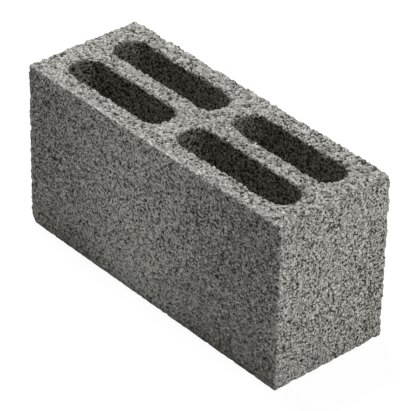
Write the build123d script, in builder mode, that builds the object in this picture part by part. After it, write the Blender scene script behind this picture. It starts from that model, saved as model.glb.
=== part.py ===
import os

from build123d import *

# Hollow concrete wall block, cast in one piece and stood with its four slots open upwards.
# Lengths are in millimetres. X runs along the block, Y across it, and the origin is
# in the middle of the bottom bed.

# Outside of the block
block_length = 400
block_width = 150
block_height = 200
arris_radius = 2.5  # worn round of the top and upright edges
foot_radius = 1.5  # the bottom edges come off the casting board nearly sharp

# Concrete left round the slots, measured at their mouths in the top bed
end_wall = 26
side_wall = 23.5
centre_rib = 21  # between the two rows of slots
cross_web = 24.5  # between the two slots of one row
web_stagger = 8  # each row's web stands off the middle of the block, the rows opposite ways
closed_bed = 20  # concrete left under the slots

# Slot walls
draft_angle = 1  # degrees, so that the cores draw out upwards
lip_radius = 1  # round of the slots' mouths

# Places of the slots, from the walls
slot_width = (block_width - 2 * side_wall - centre_rib) / 2
slot_depth = block_height - closed_bed
row_offset = (centre_rib + slot_width) / 2
mean_slot = (block_length - 2 * end_wall - cross_web) / 2
short_slot = mean_slot - web_stagger
long_slot = mean_slot + web_stagger
left_end = end_wall - block_length / 2
right_end = block_length / 2 - end_wall

os.makedirs("parts", exist_ok=True)

top_bed = Plane.XY.offset(block_height)

with BuildPart() as block:
    with BuildSketch():
        Rectangle(block_length, block_width)
    extrude(amount=block_height)

    # Two rows of round-ended slots, where the back row is the front row turned half round
    with BuildSketch(top_bed):
        with PolarLocations(radius=0, count=2):
            with Locations((left_end + short_slot / 2, -row_offset)):
                SlotOverall(short_slot, slot_width)
            with Locations((right_end - long_slot / 2, -row_offset)):
                SlotOverall(long_slot, slot_width)
    extrude(amount=-slot_depth, mode=Mode.SUBTRACT)
    slot_walls = block.faces(Select.LAST).filter_by(Plane.XY, reverse=True)
    draft(slot_walls, neutral_plane=top_bed, angle=draft_angle)

    # The upright and top edges are rounded alike, so that three of them meet in a ball at each corner
    top_face = block.faces().sort_by(Axis.Z)[-1]
    outer_edges = block.edges().filter_by(Axis.Z) + top_face.outer_wire().edges()
    fillet(outer_edges, radius=arris_radius)
    bottom_face = block.faces().sort_by(Axis.Z)[0]
    fillet(bottom_face.edges(), radius=foot_radius)
    top_face = block.faces().sort_by(Axis.Z)[-1]
    fillet(top_face.inner_wires().edges(), radius=lip_radius)

block.part.label = "block"
export_step(block.part, "parts/block.step")
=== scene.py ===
import math

import bmesh
import bpy
from mathutils import Matrix, Vector


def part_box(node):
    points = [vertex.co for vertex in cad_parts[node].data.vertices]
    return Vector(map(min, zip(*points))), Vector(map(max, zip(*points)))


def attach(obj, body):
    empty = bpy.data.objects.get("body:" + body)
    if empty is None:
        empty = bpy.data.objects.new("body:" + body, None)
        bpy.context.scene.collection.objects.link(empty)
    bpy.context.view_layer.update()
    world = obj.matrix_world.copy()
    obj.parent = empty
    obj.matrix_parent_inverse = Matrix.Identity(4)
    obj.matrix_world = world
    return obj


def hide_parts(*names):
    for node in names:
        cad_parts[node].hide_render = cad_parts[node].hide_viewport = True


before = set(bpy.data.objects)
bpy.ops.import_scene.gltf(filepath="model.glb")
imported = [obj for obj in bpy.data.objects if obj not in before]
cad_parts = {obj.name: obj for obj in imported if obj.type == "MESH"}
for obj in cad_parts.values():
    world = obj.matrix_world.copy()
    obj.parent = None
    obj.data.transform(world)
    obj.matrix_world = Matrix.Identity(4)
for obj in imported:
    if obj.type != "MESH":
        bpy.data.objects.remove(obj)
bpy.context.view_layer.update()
mm = 0.001
low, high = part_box("block")
print("frame loaded, block", [round(side / mm) for side in high - low], "mm")


class Value:
    # a socket of a node tree: sums on it add Math nodes
    def __init__(self, tree, socket=None):
        self.tree = tree
        self.socket = socket

    def node(self, kind, settings=None, inputs=None, output=0):
        made = self.tree.nodes.new(kind)
        for name, setting in (settings or {}).items():
            setattr(made, name, setting)
        for name, value in (inputs or {}).items():
            if isinstance(value, Value):
                self.tree.links.new(value.socket, made.inputs[name])
            else:
                made.inputs[name].default_value = value
        return Value(self.tree, made.outputs[output] if made.outputs else None)

    def sibling(self, output):
        return Value(self.tree, self.socket.node.outputs[output])

    def maths(self, operation, *values):
        return self.node("ShaderNodeMath", {"operation": operation}, dict(enumerate(values)))

    def vectorMaths(self, operation, *values, output=0):
        return self.node("ShaderNodeVectorMath", {"operation": operation}, dict(enumerate(values)), output)

    def __add__(self, other):
        return self.maths("ADD", self, other)

    def __radd__(self, other):
        return self.maths("ADD", other, self)

    def __sub__(self, other):
        return self.maths("SUBTRACT", self, other)

    def __rsub__(self, other):
        return self.maths("SUBTRACT", other, self)

    def __mul__(self, other):
        return self.maths("MULTIPLY", self, other)

    def __rmul__(self, other):
        return self.maths("MULTIPLY", other, self)

    def __truediv__(self, other):
        return self.maths("DIVIDE", self, other)

    def __pow__(self, other):
        return self.maths("POWER", self, other)

    def __abs__(self):
        return self.maths("ABSOLUTE", self)

    def least(self, other):
        return self.maths("MINIMUM", self, other)

    def most(self, other):
        return self.maths("MAXIMUM", self, other)

    def rise(self, start, end):
        # 0 before start, 1 after end, smooth between them
        return self.node(
            "ShaderNodeMapRange",
            {"interpolation_type": "SMOOTHSTEP"},
            {"Value": self, "From Min": start, "From Max": end},
        )

    def uneven(self, even, odd):
        # turns numbers from 0 to 1 into tones: most near 0, and a few far from it
        apart = self - 0.5
        return apart * (even + apart * apart * odd)

    def noise(self, size, detail=0.0, output=0):
        settings = {"Vector": self, "Scale": 1 / size, "Detail": detail}
        return self.node("ShaderNodeTexNoise", inputs=settings, output=output)

    def cells(self, size):
        # distance from the middle of the nearest cell, in cells, and a number for each cell
        nearest = self.node("ShaderNodeTexVoronoi", inputs={"Vector": self, "Scale": 1 / size})
        return nearest, nearest.sibling("Color").axes()[0]

    def axes(self):
        parts = self.node("ShaderNodeSeparateXYZ", inputs={"Vector": self})
        return parts, parts.sibling("Y"), parts.sibling("Z")

    def mixColour(self, first, second, blend="MIX"):
        # self is the factor
        settings = {"data_type": "RGBA", "blend_type": blend}
        return self.node("ShaderNodeMix", settings, {0: self, 6: first, 7: second}, 2)


# Slots, by the concrete left round their mouths, where the back row is the front row turned half round
slots = {
    "endWall": 26 * mm,
    "sideWall": 23.5 * mm,
    "centreRib": 21 * mm,
    "crossWeb": 24.5 * mm,
    "webStagger": 8 * mm,
    "wallReach": (1 * mm, 6 * mm),  # outside the slots' outline, where the look of their walls ends
    "mouthReach": (1 * mm, 3 * mm),  # below the top bed, where it begins
    "underReach": (5 * mm, 10 * mm),  # above the floor, because the bottom of the block has none of it
}
slotRadius = (high.y - slots["sideWall"] - slots["centreRib"] / 2) / 2
slotSpans = [
    (low.x + slots["endWall"], -slots["webStagger"] - slots["crossWeb"] / 2),
    (-slots["webStagger"] + slots["crossWeb"] / 2, high.x - slots["endWall"]),
]


def slotGap(place):
    # how far a point lies outside the nearest slot's outline, seen from above
    x, y = place.axes()[:2]
    along = x * y.maths("SIGN", y) * -1.0
    across = abs(y) - slots["centreRib"] / 2 - slotRadius
    gaps = []
    for first, last in slotSpans:
        past = (abs(along - (first + last) / 2) - (last - first) / 2 + slotRadius).most(0.0)
        gaps.append((past * past + across * across) ** 0.5 - slotRadius)
    return gaps[0].least(gaps[1])


def coredShare(place):
    # 1 on the walls that the cores left, 0 on the outside of the block
    z = place.axes()[2]
    near = 1 - slotGap(place).rise(*slots["wallReach"])
    below = (high.z - z).rise(*slots["mouthReach"])
    return near * below * z.rise(*slots["underReach"])


# Wear of the edges, where a range is of the noise, from whole to deepest
wear = {
    "edgeReach": (1 * mm, 6 * mm),  # from an edge, where its wear ends
    "edgeGrain": 0.8,  # share of the top bed's open grain on the edges
    "chipSize": 14 * mm,
    "chipRange": (0.52, 0.85),
    "chipDepth": 2.0 * mm,
    "nibbleSize": 7 * mm,
    "nibbleRange": (0.55, 0.8),
    "nibbleDepth": 2.2 * mm,
    "lipRange": (0.5, 0.7),
    "lipNibble": 0.6 * mm,  # on the slots' mouths
    "uprightShare": 0.6,  # the upright edges are less worn than those of the top bed
    "leftShare": 0.5,  # and those at the left half as much as those at the right
    "uprightTop": (12 * mm, 4 * mm),  # below the top bed, where they turn into its edges
    "footShare": 0.15,  # the edges on the floor kept their line
    "footReach": 12 * mm,  # above the floor
    "rightFoot": 0.3,  # but are worn more at the right end
    "rightReach": 15 * mm,
    "calmReach": (4 * mm, 9 * mm),  # from the front's top edge, which paste smoothed
    "calmPores": 0.3,  # share of the pores that it filled there
    "calmWear": 0.6,  # share of the wear that is missing there
    "fill": 0.6,  # share of the rounding that the concrete fills on a sound edge
    "fillRange": (0.47, 0.58),  # on a worn one it is from all of it to none
    "fillWear": 1.5,  # how soon an edge counts as worn
    "corners": [
        {"at": (high.x, high.y, high.z), "reach": 9 * mm, "depth": 2.5 * mm},
        {"at": (low.x, high.y, high.z), "reach": 10 * mm, "depth": 1 * mm},
        {"at": (low.x, low.y, high.z + 4 * mm), "reach": 12 * mm, "depth": 1.5 * mm},
        {"at": (low.x, low.y, low.z), "reach": 9 * mm, "depth": 4 * mm},
    ],
}


def faceGaps(place):
    # how far a point lies inside the block's end, side and bed planes
    x, y, z = place.axes()
    return high.x - abs(x), high.y - abs(y), (high.z - z).least(z - low.z)


def edgeShare(place):
    # 1 on the outer edges, where the second smallest gap is small too, and 0 a few millimetres away
    ends, sides, beds = faceGaps(place)
    second = ends.least(sides).most(beds).least(ends.most(sides))
    return 1 - second.rise(*wear["edgeReach"])


def calmShare(place):
    # 1 along the front's top edge
    y, z = place.axes()[1:]
    return (1 - (y - low.y).rise(*wear["calmReach"])) * (1 - (high.z - z).rise(*wear["calmReach"]))


# Grain of the casting, where a range is of the noise, from whole to open
grain = {
    "cobbleSize": 4.4 * mm,  # grains that stand proud on the open top bed and along worn edges
    "domeNarrow": 1.27,  # they are this much narrower than their cells
    "domePower": 2.6,  # and flatter on top the higher this is
    "gritSize": 3.1 * mm,  # grains pressed flat against the mould
    "sandSize": 1.4 * mm,
    "pitSize": 3.0 * mm,  # spacing of the pits that the paste left between those
    "pitRange": (0.612, 0.626),
    "openedMore": 0.045,  # added to the pits' noise, towards the foot of the right end's back edge
    "hollowSize": 4.8 * mm,  # spacing of the larger hollows, which are few
    "hollowRange": (0.66, 0.7),
    "pasteSize": 7 * mm,  # patches of the top bed where paste fills the gaps
    "pasteRange": (0.38, 0.75),
    "pasteFill": 0.75,
    "pasteFree": (1 * mm, 5 * mm),  # from the slots' mouths, where there is no paste
    "warpSize": 9 * mm,
    "warp": 0.8 * mm,  # bends the rows of grains
    "bedReach": (3 * mm, 1 * mm),  # below the top bed, where its open grain begins
    "bedDepth": 1.8 * mm,
    "lipDepth": 2.4 * mm,  # along the slots' mouths
    "lipReach": (1 * mm, 4 * mm),  # from their outline
    "lipHeight": (3 * mm, 7 * mm),  # below the top bed
    "lipUpright": 4.0,  # pull of the relief there towards straight down
    "mouldDepth": 1.0 * mm,
    "slotShare": 0.3,  # of the relief, on the walls that the cores left and on the bottom
    "coreReach": (2 * mm, 8 * mm),  # below the top bed, where those walls begin
    "bottomReach": (0.5 * mm, 3 * mm),  # above the floor, where the bottom ends
    "edgeBlur": 10,  # rounds of smoothing for the relief's direction
    "inset": 0.15 * mm,  # keeps the finished casting inside its nominal size
    "joined": 0.01 * mm,  # points this near are merged
    "voxel": 0.9 * mm,
    "triangles": 192000,
}


def grainFields(place):
    # surface is 1 on the face of the casting and 0 in its pores, bed is 1 where the grain is open,
    # and tone is a number for each grain
    warp = place.noise(grain["warpSize"], 1.0, "Color")
    bent = warp.vectorMaths("MULTIPLY_ADD", warp, (grain["warp"],) * 3, place)
    cobble, cobbleTone = bent.cells(grain["cobbleSize"])
    gritTone = bent.cells(grain["gritSize"])[1]
    x, y, z = place.axes()
    bedStart, bedFull = [high.z - depth for depth in grain["bedReach"]]
    bed = z.rise(bedStart, bedFull).most(edgeShare(place) * wear["edgeGrain"])
    mouth = 1 - abs(slotGap(place)).rise(*grain["pasteFree"])
    paste = place.noise(grain["pasteSize"], 1.0).rise(*grain["pasteRange"])
    paste = paste * (1 - mouth) * grain["pasteFill"]
    dome = (1 - (cobble * grain["domeNarrow"]) ** grain["domePower"]).most(paste)
    opened = x.rise(0.0, high.x) * y.rise(0.0, high.y) * (1 - z.rise(high.z / 3, high.z))
    pit = (bent.noise(grain["pitSize"], 1.0) + opened * grain["openedMore"]).rise(*grain["pitRange"])
    hollow = place.noise(grain["hollowSize"], 1.0).rise(*grain["hollowRange"])
    surface = (1 + (dome - 1) * bed).least(1 - pit).least(1 - hollow)
    surface = surface + (1 - surface) * calmShare(place) * wear["calmPores"]
    tone = gritTone + (cobbleTone - gritTone) * bed
    return surface, bed, tone


def lipShare(place):
    # 1 on the lips of the slots' mouths
    below = high.z - place.axes()[2]
    return (1 - abs(slotGap(place)).rise(*grain["lipReach"])) * (1 - below.rise(*grain["lipHeight"]))


def poreDepth(place, lip):
    # how deep the pores, and the gaps between the grains, sink each point
    surface, bed = grainFields(place)[:2]
    z = place.axes()[2]
    depth = grain["mouldDepth"] + bed * (grain["bedDepth"] - grain["mouldDepth"])
    depth = depth + lip * (grain["lipDepth"] - grain["bedDepth"])
    cored = coredShare(place) * (high.z - z).rise(*grain["coreReach"])
    cored = cored.most(1 - z.rise(*grain["bottomReach"]))
    return grain["inset"] + (1 - surface) * depth * (1 - cored * (1 - grain["slotShare"]))


def wornEdges(place, lip, sunk):
    # adds the chips and nibbles along the edges
    x, z = place.axes()[::2]
    chips = place.noise(wear["chipSize"], 1.0).rise(*wear["chipRange"]) * wear["chipDepth"]
    ragged = place.noise(wear["nibbleSize"])
    nibbles = ragged.rise(*wear["nibbleRange"]) * wear["nibbleDepth"]
    upright = wear["uprightShare"] * (1 - (1 - x.rise(low.x / 2, high.x / 2)) * (1 - wear["leftShare"]))
    foot = wear["footShare"] + x.rise(high.x - wear["rightReach"], high.x) * wear["rightFoot"]
    worn = foot + z.rise(0.0, wear["footReach"]) * (upright - foot)
    topStart, topFull = [high.z - depth for depth in wear["uprightTop"]]
    worn = worn + z.rise(topStart, topFull) * (1 - upright)
    sunk = sunk + edgeShare(place) * (chips + nibbles) * worn * (1 - calmShare(place) * wear["calmWear"])
    sunk = sunk + lip * ragged.rise(*wear["lipRange"]) * wear["lipNibble"]
    # here and there a grain fills the rounded edge, up to the planes of the faces
    ends, sides, beds = faceGaps(place)
    room = ends.least(sides).least(beds).most(0.0)
    odd = 1 - wear["fill"] - ragged.rise(*wear["fillRange"])
    filled = wear["fill"] + odd * (worn * wear["fillWear"]).least(1.0)
    return sunk - room * filled * (1 - coredShare(place))


def wornCorners(place, sunk):
    for corner in wear["corners"]:
        away = place.vectorMaths("DISTANCE", place, corner["at"], output="Value")
        sunk = sunk + (1 - away.rise(0.0, corner["reach"])) * corner["depth"]
    return sunk


def reliefTree():
    # sinks the surface, and keeps the place that each point had before
    tree = bpy.data.node_groups.new("concreteRelief", "GeometryNodeTree")
    for way in ("INPUT", "OUTPUT"):
        tree.interface.new_socket("Geometry", in_out=way, socket_type="NodeSocketGeometry")
    start = Value(tree)
    shape = start.node("NodeGroupInput")
    place = start.node("GeometryNodeInputPosition")
    lip = lipShare(place)
    sunk = wornCorners(place, wornEdges(place, lip, poreDepth(place, lip)))
    kept = start.node(
        "GeometryNodeStoreNamedAttribute",
        {"data_type": "FLOAT_VECTOR", "domain": "POINT"},
        {"Geometry": shape, "Name": "castPlace", "Value": place},
    )
    # directions are smoothed across the edges, so that deep pores there don't cross each other
    normal = start.node("GeometryNodeInputNormal")
    smooth = start.node(
        "GeometryNodeBlurAttribute",
        {"data_type": "FLOAT_VECTOR"},
        {"Value": normal, "Iterations": grain["edgeBlur"]},
    )
    # and along the mouths they stand upright, so that the cores' walls stay flush
    raised = start.node("ShaderNodeCombineXYZ", inputs={"Z": lip * grain["lipUpright"]})
    outward = smooth.vectorMaths("ADD", smooth, raised)
    outward = outward.vectorMaths("NORMALIZE", outward)
    offset = start.node("ShaderNodeVectorMath", {"operation": "SCALE"}, {0: outward, "Scale": sunk * -1.0})
    moved = start.node("GeometryNodeSetPosition", inputs={"Geometry": kept, "Offset": offset})
    start.node("NodeGroupOutput", inputs={"Geometry": moved})
    return tree


def finishedMesh(piece):
    graph = bpy.context.evaluated_depsgraph_get()
    return bpy.data.meshes.new_from_object(piece.evaluated_get(graph))


def castBlock():
    # a merged copy of the CAD node, remeshed fine, grained and worn, and thinned to its budget
    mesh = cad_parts["block"].data.copy()
    build = bmesh.new()
    build.from_mesh(mesh)
    bmesh.ops.remove_doubles(build, verts=build.verts, dist=grain["joined"])
    build.to_mesh(mesh)
    build.free()
    mesh.materials.clear()
    block = bpy.data.objects.new("concrete_block", mesh)
    bpy.context.scene.collection.objects.link(block)
    remesh = block.modifiers.new("remesh", "REMESH")
    remesh.mode = "VOXEL"
    remesh.voxel_size = grain["voxel"]
    relief = block.modifiers.new("relief", "NODES")
    relief.node_group = reliefTree()
    fine = finishedMesh(block)
    count = sum(len(face.vertices) - 2 for face in fine.polygons)
    print("grained mesh", count, "triangles")
    block.modifiers.clear()
    block.data = fine
    thin = block.modifiers.new("thin", "DECIMATE")
    thin.ratio = grain["triangles"] / count
    thin.use_collapse_triangulate = True
    block.data = finishedMesh(block)
    block.modifiers.clear()
    block.data.shade_smooth()
    # the thinning can leave a point a hair outside the nominal size
    for vertex in block.data.vertices:
        vertex.co = [max(first, min(last, at)) for first, at, last in zip(low, vertex.co, high)]
    places = block.data.attributes["castPlace"].data
    furthest = max((vertex.co - places[vertex.index].vector).length for vertex in block.data.vertices)
    print("cast block", len(block.data.polygons), "triangles, deepest", round(furthest / mm, 2), "mm")
    return block


# Charts for the bake: flat views of the outside, and the slots' walls unrolled
bake = {
    "margin": 4 * mm,
    "hidden": ("under", "wall", "bottom"),  # charts that hardly show
    "hiddenShare": 0.5,  # and their scale
    "slotGap": 0.5 * mm,  # a face is in a slot if it lies no further outside the slot's outline than this
    "slotFloor": 5 * mm,  # higher above the floor than this
    "slotMouth": 0.3 * mm,  # and deeper below the top bed than this
    "steep": 0.7,  # a slot's wall has less than this of its normal along Z
}
# axes across and up each flat view of the outside
sideAxes = {"back": (0, 2), "front": (0, 2), "right": (1, 2), "left": (1, 2), "top": (0, 1), "under": (0, 1)}
sideNames = [("left", "right"), ("front", "back"), ("under", "top")]  # against and along X, Y and Z
mirrored = ("back", "left", "under")  # seen from outside, the first axis of these runs backwards


def slotPlace(point):
    # the slot nearest to a point, how far outside its outline and how far round it the point lies
    turn = 1 if point.y < 0 else -1
    along = point.x * turn
    across = point.y * turn + slots["centreRib"] / 2 + slotRadius
    number = 0 if along < -slots["webStagger"] else 1
    first, last = slotSpans[number]
    half = (last - first) / 2 - slotRadius
    along -= (first + last) / 2
    straight = max(-half, min(half, along))
    past = along - straight
    gap = math.hypot(past, across) - slotRadius
    around = slotRadius * abs(math.atan2(across, -past)) + straight + half
    return (turn, number), gap, math.copysign(around, across)


def chartSizes():
    # width and height of each chart, before its scale
    size = high - low
    sizes = {(side, None): (size[across], size[up]) for side, (across, up) in sideAxes.items()}
    for number, (first, last) in enumerate(slotSpans):
        around = 2 * (last - first) + (2 * math.pi - 4) * slotRadius
        for turn in (1, -1):
            sizes["wall", (turn, number)] = (size.z, around)
            sizes["bottom", (turn, number)] = (last - first, 2 * slotRadius)
    return sizes


def chartScale(chart):
    return bake["hiddenShare"] if chart[0] in bake["hidden"] else 1


def chartPlaces(sizes):
    # rows of charts, the tallest first, and the side of the square that holds them
    drawn = {chart: [length * chartScale(chart) for length in size] for chart, size in sizes.items()}
    widest = [drawn["back", None][0], drawn["right", None][0], drawn["wall", (1, 0)][0]]
    width = sum(widest) + len(widest) * bake["margin"]
    places = {}
    rows = []
    top = 0
    for chart, (wide, tall) in sorted(drawn.items(), key=lambda item: -item[1][1]):
        row = next((row for row in rows if row["used"] + wide <= width), None)
        if row is None:
            row = {"used": 0, "foot": top}
            rows.append(row)
            top += tall + bake["margin"]
        places[chart] = (row["used"], row["foot"])
        row["used"] += wide + bake["margin"]
    return places, max(width, top)


def pickChart(normal, middle):
    # a slot's wall or bottom, or else the side of the block that the face looks to most
    slot, gap = slotPlace(middle)[:2]
    inside = gap < bake["slotGap"] and bake["slotFloor"] < middle.z < high.z - bake["slotMouth"]
    if inside and abs(normal.z) < bake["steep"]:
        return "wall", slot
    if inside and middle.z < high.z / 2:
        return "bottom", slot
    axis = max(range(3), key=lambda number: abs(normal[number]))
    return sideNames[axis][normal[axis] > 0], None


def wallPoint(corner, around, length):
    # a wall is cut open at one end, and its corners stay on the side where the face's middle is
    turned = slotPlace(corner)[2]
    turned -= length * round((turned - around) / length)
    return corner.z - low.z, turned + length / 2


def bottomPoint(corner, slot):
    turn, number = slot
    edge = min(turn * end for end in slotSpans[number])
    foot = slots["centreRib"] / 2 if turn < 0 else slots["sideWall"] - high.y
    return corner.x - edge, corner.y - foot


def sidePoint(corner, side):
    across, up = sideAxes[side]
    if side in mirrored:
        return high[across] - corner[across], corner[up] - low[up]
    return corner[across] - low[across], corner[up] - low[up]


def unwrapBlock(block):
    mesh = block.data
    spots = [item.vector.copy() for item in mesh.attributes["castPlace"].data]
    sizes = chartSizes()
    places, sheet = chartPlaces(sizes)
    layer = mesh.uv_layers.new(name="OFBake")
    for face in mesh.polygons:
        corners = [spots[index] for index in face.vertices]
        normal = (corners[1] - corners[0]).cross(corners[2] - corners[0])
        if normal.length == 0:
            normal = face.normal
        middle = sum(corners, Vector()) / len(corners)
        chart = pickChart(normal.normalized(), middle)
        kind, slot = chart
        if kind == "wall":
            around = slotPlace(middle)[2]
            flat = [wallPoint(corner, around, sizes[chart][1]) for corner in corners]
        elif kind == "bottom":
            flat = [bottomPoint(corner, slot) for corner in corners]
        else:
            flat = [sidePoint(corner, kind) for corner in corners]
        scale = chartScale(chart)
        left, foot = places[chart]
        for loop, (u, v) in zip(face.loop_indices, flat):
            layer.data[loop].uv = ((left + u * scale) / sheet, (foot + v * scale) / sheet)
    print("unwrapped for the bake on", len(places), "charts,", round(sheet / mm), "mm square")


# Finish of the concrete, where colours are linear
finish = {
    "dark": (0.025, 0.0205, 0.011, 1),  # at shade 0
    "light": (0.804, 0.8, 0.754, 1),  # at shade 1
    "tone": 0.5,  # middle shade
    "grainEven": 0.15,  # spread of the grains' tones
    "grainOdd": 1.8,  # and of the few that stand out
    "bedGrain": 0.5,  # more of both on the top bed
    "sandEven": 0.6,
    "sandOdd": 9.5,
    "bedSand": 0.4,  # less of the sand there
    "patchSize": 28 * mm,
    "patchTone": 0.06,
    "poreRange": (0.0, 0.5),  # of the surface, from painted shade to plain
    # darkness of the shade painted into the pores, standing in for the shadow inside them
    "poreShadeDark": 0.97,
    "speckRange": (0.55, 0.85),  # of the distance from the middle of a sand grain, from plain to painted shade
    # painted shade in the creases between the sand grains
    "speckShadeDark": 0.4,
    "slotTint": (1.0, 0.987, 0.915, 1),  # the walls that the cores left are browner
    "slotGrain": 1.8,  # and rougher
    "frontReach": (1 * mm, 4 * mm),  # behind the front's plane, where its look ends
    # the front is painted darker, partly its own tone and partly painted shade
    "frontToneAndShade": 0.85,
    "frontGrain": 0.27,  # more of the sand there
    "frontPoreShade": 0.8,  # share of the pores' painted shade there
    "footCalm": 0.35,  # less of both towards the floor
    "footReach": (20 * mm, 100 * mm),
    "paleToneAndLight": 0.8,  # of a broad pale band on the front, partly its own tone and partly a painted pool of light
    "paleMiddle": -20 * mm,
    "paleReach": 113 * mm,  # at the foot
    "paleSpread": 3.9,  # growth of that for each metre of height
    "sandBump": 0.2,
    "bedBump": 0.5,
    "bumpDepth": 0.8 * mm,
    "bumpStrength": 0.6,
    "roughness": 0.93,
    "specular": 0.25,
}


def concreteFinish():
    material = bpy.data.materials.new("grey_concrete")
    material.use_nodes = True
    tree = material.node_tree
    tree.nodes.clear()
    start = Value(tree)
    # the places before the relief, so that the painted shade of each pore lies where the mesh is sunk
    place = start.node("ShaderNodeAttribute", {"attribute_name": "castPlace"}, output="Vector")
    x, y, z = place.axes()
    surface, bed, tone = grainFields(place)
    sand, sandTone = place.cells(grain["sandSize"])
    patch = place.noise(finish["patchSize"], 2.0)
    cored = coredShare(place)
    front = 1 - (y - low.y).rise(*finish["frontReach"])
    calm = (1 - z.rise(*finish["footReach"])) * finish["footCalm"]

    # tones of the grains and the sand
    shade = 1 + tone.uneven(finish["grainEven"], finish["grainOdd"]) * (1 + bed * finish["bedGrain"])
    strength = 1 - bed * finish["bedSand"] + cored * finish["slotGrain"]
    strength = strength + front * (finish["frontGrain"] - calm)
    shade = shade + sandTone.uneven(finish["sandEven"], finish["sandOdd"]) * strength
    shade = (shade + (patch - 0.5) * finish["patchTone"]) * finish["tone"]
    # painted shade in the pores, and in the specks between the sand grains
    paintedPoreShade = 1 - surface.rise(*finish["poreRange"])
    paintedPoreShade = paintedPoreShade * (1 - front * (1 - finish["frontPoreShade"] + calm / 2)) * finish["poreShadeDark"]
    paintedSpeckShade = sand.rise(*finish["speckRange"])
    shade = shade * (1 - paintedPoreShade) * (1 - paintedSpeckShade * finish["speckShadeDark"])
    # the front, painted darker with a paler band across its middle: partly the concrete's own tone, partly
    # painted light and shade
    aside = abs(x - finish["paleMiddle"]) / (1 + z * finish["paleSpread"])
    pale = 1 - aside.rise(0.0, finish["paleReach"])
    shade = shade * (1 + front * (finish["frontToneAndShade"] * (1 + pale * finish["paleToneAndLight"]) - 1))

    colour = shade.mixColour(finish["dark"], finish["light"])
    colour = cored.mixColour(colour, finish["slotTint"], "MULTIPLY")
    height = (surface - sand * finish["sandBump"]) * (1 + cored + bed * finish["bedBump"])
    bump = start.node(
        "ShaderNodeBump",
        inputs={"Height": height, "Distance": finish["bumpDepth"], "Strength": finish["bumpStrength"]},
        output="Normal",
    )
    shader = start.node(
        "ShaderNodeBsdfPrincipled",
        inputs={
            "Base Color": colour,
            "Roughness": finish["roughness"],
            "Specular IOR Level": finish["specular"],
            "Normal": bump,
        },
    )
    start.node("ShaderNodeOutputMaterial", inputs={"Surface": shader})
    print("finish made,", len(tree.nodes), "nodes")
    return material


# Floor, which shows white with the block's shadow and bounces a plain pale light
stage = {
    "floorSize": 12.0,
    "floorBounce": (0.72, 0.718, 0.69, 1),
    "floorShown": 0.12,  # grey that the lamps light, and the shadow darkens
    "floorGlow": 0.95,  # the rest of the white
    "world": 0.07,
}


def makeFloor():
    build = bmesh.new()
    bmesh.ops.create_grid(build, x_segments=1, y_segments=1, size=stage["floorSize"] / 2)
    mesh = bpy.data.meshes.new("floor")
    build.to_mesh(mesh)
    build.free()
    floor = bpy.data.objects.new("floor", mesh)
    bpy.context.scene.collection.objects.link(floor)
    material = bpy.data.materials.new("floor_white")
    material.use_nodes = True
    tree = material.node_tree
    tree.nodes.clear()
    start = Value(tree)
    path = start.node("ShaderNodeLightPath", output="Is Camera Ray")
    seen = path.most(path.sibling("Is Glossy Ray")).most(path.sibling("Is Transmission Ray"))
    bounce = start.node("ShaderNodeBsdfDiffuse", inputs={"Color": stage["floorBounce"]})
    shown = start.node("ShaderNodeBsdfDiffuse", inputs={"Color": (stage["floorShown"],) * 3 + (1,)})
    glow = start.node("ShaderNodeEmission", inputs={"Strength": stage["floorGlow"]})
    white = start.node("ShaderNodeAddShader", inputs={0: shown, 1: glow})
    surface = start.node("ShaderNodeMixShader", inputs={0: seen, 1: bounce, 2: white})
    start.node("ShaderNodeOutputMaterial", inputs={"Surface": surface})
    mesh.materials.append(material)


# Round lamps, all turned to the middle of the block
lamps = {
    "above": {"at": (-0.75, 0.22, 2.4), "size": 0.7, "watts": 49.2},  # on the top bed
    "right": {"at": (1.95, 0.3, 2.8), "size": 1.2, "watts": 18.5},  # on the top bed and the right end
    "beside": {"at": (1.6, -0.05, 0.16), "size": 0.3, "watts": 6.6},  # evens out the right end's foot
}


def makeLamps():
    world = bpy.data.worlds.new("studio")
    world.use_nodes = True
    world.node_tree.nodes["Background"].inputs["Color"].default_value = (1, 1, 1, 1)
    world.node_tree.nodes["Background"].inputs["Strength"].default_value = stage["world"]
    bpy.context.scene.world = world
    middle = (low + high) / 2
    for name, lamp in lamps.items():
        light = bpy.data.lights.new(name, "AREA")
        light.shape = "DISK"
        light.size = lamp["size"]
        light.energy = lamp["watts"]
        shown = bpy.data.objects.new(name, light)
        bpy.context.scene.collection.objects.link(shown)
        shown.location = lamp["at"]
        shown.rotation_euler = (shown.location - middle).to_track_quat("Z", "Y").to_euler()


# Camera, fitted to the corners and edges of the block in the photograph, with angles in degrees
view = {
    "azimuth": 48.3,
    "elevation": 33.9,
    "roll": 1.28,
    "distance": 2.8807,
    "aim": (0.00606, 0.00068, 0.094),
    "lens": 238.2,
    "sensor": 36.0,
}


def makeCamera():
    lens = bpy.data.cameras.new("camera")
    lens.sensor_width = view["sensor"]
    lens.lens = view["lens"]
    camera = bpy.data.objects.new("camera", lens)
    bpy.context.scene.collection.objects.link(camera)
    turn = (
        Matrix.Rotation(math.radians(view["azimuth"]), 4, "Z")
        @ Matrix.Rotation(math.radians(90 - view["elevation"]), 4, "X")
        @ Matrix.Rotation(math.radians(view["roll"]), 4, "Z")
    )
    back = turn.to_3x3() @ Vector((0, 0, view["distance"]))
    camera.matrix_world = Matrix.Translation(Vector(view["aim"]) + back) @ turn
    bpy.context.scene.camera = camera


block = castBlock()
unwrapBlock(block)
block.data.materials.append(concreteFinish())
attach(block, "root")
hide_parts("block")
makeFloor()
makeLamps()
makeCamera()
bpy.context.scene.view_settings.view_transform = "Standard"
print("scene ready")
